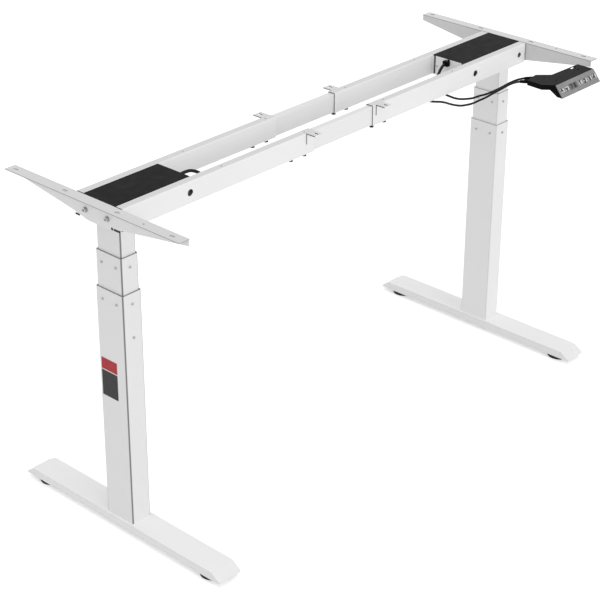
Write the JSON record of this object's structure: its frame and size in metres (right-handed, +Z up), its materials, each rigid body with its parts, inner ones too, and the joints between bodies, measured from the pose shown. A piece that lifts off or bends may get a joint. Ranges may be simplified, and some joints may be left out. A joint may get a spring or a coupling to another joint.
{
  "type": "standing desk frame",
  "caption": "Height-adjustable desk frame: two telescopic lifting columns on feet, joined by width-adjustable beams with side brackets, motors and a hand control.",
  "frame": {"origin": "on the floor under the middle of the frame", "axes": "+X along the beams to the right of the user, -Y towards the user, +Z up"},
  "size_m": [1.374, 0.608, 0.78],
  "materials": {
    "white_powder_coat": "satin powder coat",
    "black_sheet": "matt powder coat",
    "black_painted_metal": "satin",
    "zinc_steel": "zinc plated",
    "black_steel": "black oxide",
    "grey_plastic": "matt",
    "black_plastic": "fine texture",
    "black_rubber": "matt",
    "cable_sheath": "smooth"
  },
  "bodies": {
    "base_left": {"left_foot": "white_powder_coat", "left_outer_tube": "white_powder_coat", "left_base_post": "zinc_steel", "left_foot_bolts": "zinc_steel", "left_outer_glides": "grey_plastic", "left_outer_screws": "zinc_steel"},
    "mid_left": {"left_middle_tube": "white_powder_coat", "left_middle_glides": "grey_plastic", "left_middle_screws": "zinc_steel"},
    "hollow_left": {"left_hollow_screw": "zinc_steel"},
    "drive_left": {"left_drive_screw": "zinc_steel"},
    "head_left": {"left_inner_tube": "white_powder_coat", "left_drive_box": "white_powder_coat", "left_gear_motor": "black_painted_metal", "left_cover": "black_sheet", "left_front_beam": "white_powder_coat", "left_rear_beam": "white_powder_coat", "left_side_bracket": "white_powder_coat", "left_bracket_bolts": "zinc_steel", "left_clamp_screws": "black_steel", "motor_lead_left": "cable_sheath"},
    "leveller_left_front": {"left_front_leveller": "black_rubber"},
    "leveller_left_rear": {"left_rear_leveller": "black_rubber"},
    "base_right": {"right_foot": "white_powder_coat", "right_outer_tube": "white_powder_coat", "right_base_post": "zinc_steel", "right_foot_bolts": "zinc_steel", "right_outer_glides": "grey_plastic", "right_outer_screws": "zinc_steel"},
    "mid_right": {"right_middle_tube": "white_powder_coat", "right_middle_glides": "grey_plastic", "right_middle_screws": "zinc_steel"},
    "hollow_right": {"right_hollow_screw": "zinc_steel"},
    "drive_right": {"right_drive_screw": "zinc_steel"},
    "head_right": {"right_inner_tube": "white_powder_coat", "right_drive_box": "white_powder_coat", "right_gear_motor": "black_painted_metal", "right_cover": "black_sheet", "right_front_beam": "white_powder_coat", "right_rear_beam": "white_powder_coat", "right_side_bracket": "white_powder_coat", "right_bracket_bolts": "zinc_steel", "right_clamp_screws": "black_steel", "motor_lead_right": "cable_sheath", "control_box": "black_plastic", "control_plug": "black_plastic", "handset_cable_a": "cable_sheath", "handset_cable_b": "cable_sheath", "handset_body": "black_plastic", "handset_panel": "grey_plastic"},
    "leveller_right_front": {"right_front_leveller": "black_rubber"},
    "leveller_right_rear": {"right_rear_leveller": "black_rubber"},
    "rails": {"front_rail": "white_powder_coat", "rear_rail": "white_powder_coat"},
    "button_up_cap": {"button_up": "grey_plastic"},
    "button_down_cap": {"button_down": "grey_plastic"},
    "button_1_cap": {"button_1": "grey_plastic"},
    "button_2_cap": {"button_2": "grey_plastic"},
    "button_3_cap": {"button_3": "grey_plastic"},
    "button_4_cap": {"button_4": "grey_plastic"}
  },
  "joints": [
    {"name": "lift_left_lower", "type": "slide", "parent": "base_left", "child": "mid_left", "axis": [0, 0, 1], "range_m": [-0.053, 0.252]},
    {"name": "lift_left_upper", "type": "slide", "parent": "mid_left", "child": "head_left", "axis": [0, 0, 1], "range_m": [-0.053, 0.252]},
    {"name": "width_left", "type": "slide", "parent": "head_left", "child": "rails", "axis": [1, 0, 0], "range_m": [-0.095, 0.205], "deforming": ["motor_lead_left"]},
    {"name": "width_right", "type": "slide", "parent": "rails", "child": "head_right", "axis": [1, 0, 0], "range_m": [-0.095, 0.205], "deforming": ["motor_lead_right"]},
    {"name": "lift_right_upper", "type": "slide", "parent": "head_right", "child": "mid_right", "axis": [0, 0, -1], "range_m": [-0.053, 0.252]},
    {"name": "lift_right_lower", "type": "slide", "parent": "mid_right", "child": "base_right", "axis": [0, 0, -1], "range_m": [-0.053, 0.252]},
    {"name": "hollow_screw_left", "type": "hinge", "parent": "mid_left", "child": "hollow_left", "pos_m": [-0.62, 0, 0.4], "axis": [0, 0, 1], "range_deg": [-1600, 7600]},
    {"name": "hollow_screw_right", "type": "hinge", "parent": "mid_right", "child": "hollow_right", "pos_m": [0.62, 0, 0.4], "axis": [0, 0, 1], "range_deg": [-1600, 7600]},
    {"name": "drive_screw_left", "type": "hinge", "parent": "head_left", "child": "drive_left", "pos_m": [-0.62, 0, 0.4], "axis": [0, 0, 1], "range_deg": [-3200, 15200]},
    {"name": "drive_screw_right", "type": "hinge", "parent": "head_right", "child": "drive_right", "pos_m": [0.62, 0, 0.4], "axis": [0, 0, 1], "range_deg": [-3200, 15200]},
    {"name": "leveller_left_front_screw", "type": "slide", "parent": "base_left", "child": "leveller_left_front", "axis": [0, 0, 1], "range_m": [0, 0.005]},
    {"name": "leveller_left_rear_screw", "type": "slide", "parent": "base_left", "child": "leveller_left_rear", "axis": [0, 0, 1], "range_m": [0, 0.005]},
    {"name": "leveller_right_front_screw", "type": "slide", "parent": "base_right", "child": "leveller_right_front", "axis": [0, 0, 1], "range_m": [0, 0.005]},
    {"name": "leveller_right_rear_screw", "type": "slide", "parent": "base_right", "child": "leveller_right_rear", "axis": [0, 0, 1], "range_m": [0, 0.005]},
    {"name": "button_up_press", "type": "slide", "parent": "head_right", "child": "button_up_cap", "axis": [0, 0.7771, -0.6293], "range_m": [0, 0.0006], "stiffness_N_per_m": 800},
    {"name": "button_down_press", "type": "slide", "parent": "head_right", "child": "button_down_cap", "axis": [0, 0.7771, -0.6293], "range_m": [0, 0.0006], "stiffness_N_per_m": 800},
    {"name": "button_1_press", "type": "slide", "parent": "head_right", "child": "button_1_cap", "axis": [0, 0.7771, -0.6293], "range_m": [0, 0.0006], "stiffness_N_per_m": 800},
    {"name": "button_2_press", "type": "slide", "parent": "head_right", "child": "button_2_cap", "axis": [0, 0.7771, -0.6293], "range_m": [0, 0.0006], "stiffness_N_per_m": 800},
    {"name": "button_3_press", "type": "slide", "parent": "head_right", "child": "button_3_cap", "axis": [0, 0.7771, -0.6293], "range_m": [0, 0.0006], "stiffness_N_per_m": 800},
    {"name": "button_4_press", "type": "slide", "parent": "head_right", "child": "button_4_cap", "axis": [0, 0.7771, -0.6293], "range_m": [0, 0.0006], "stiffness_N_per_m": 800}
  ],
  "couplings": [
    {"joint": "lift_left_upper", "follows": "lift_left_lower", "ratio": 1},
    {"joint": "lift_right_upper", "follows": "lift_left_lower", "ratio": 1},
    {"joint": "lift_right_lower", "follows": "lift_left_lower", "ratio": 1},
    {"joint": "hollow_screw_left", "follows": "lift_left_lower", "rad_per_m": 523.6},
    {"joint": "hollow_screw_right", "follows": "lift_left_lower", "rad_per_m": 523.6},
    {"joint": "drive_screw_left", "follows": "lift_left_lower", "rad_per_m": 1047.2},
    {"joint": "drive_screw_right", "follows": "lift_left_lower", "rad_per_m": 1047.2}
  ]
}
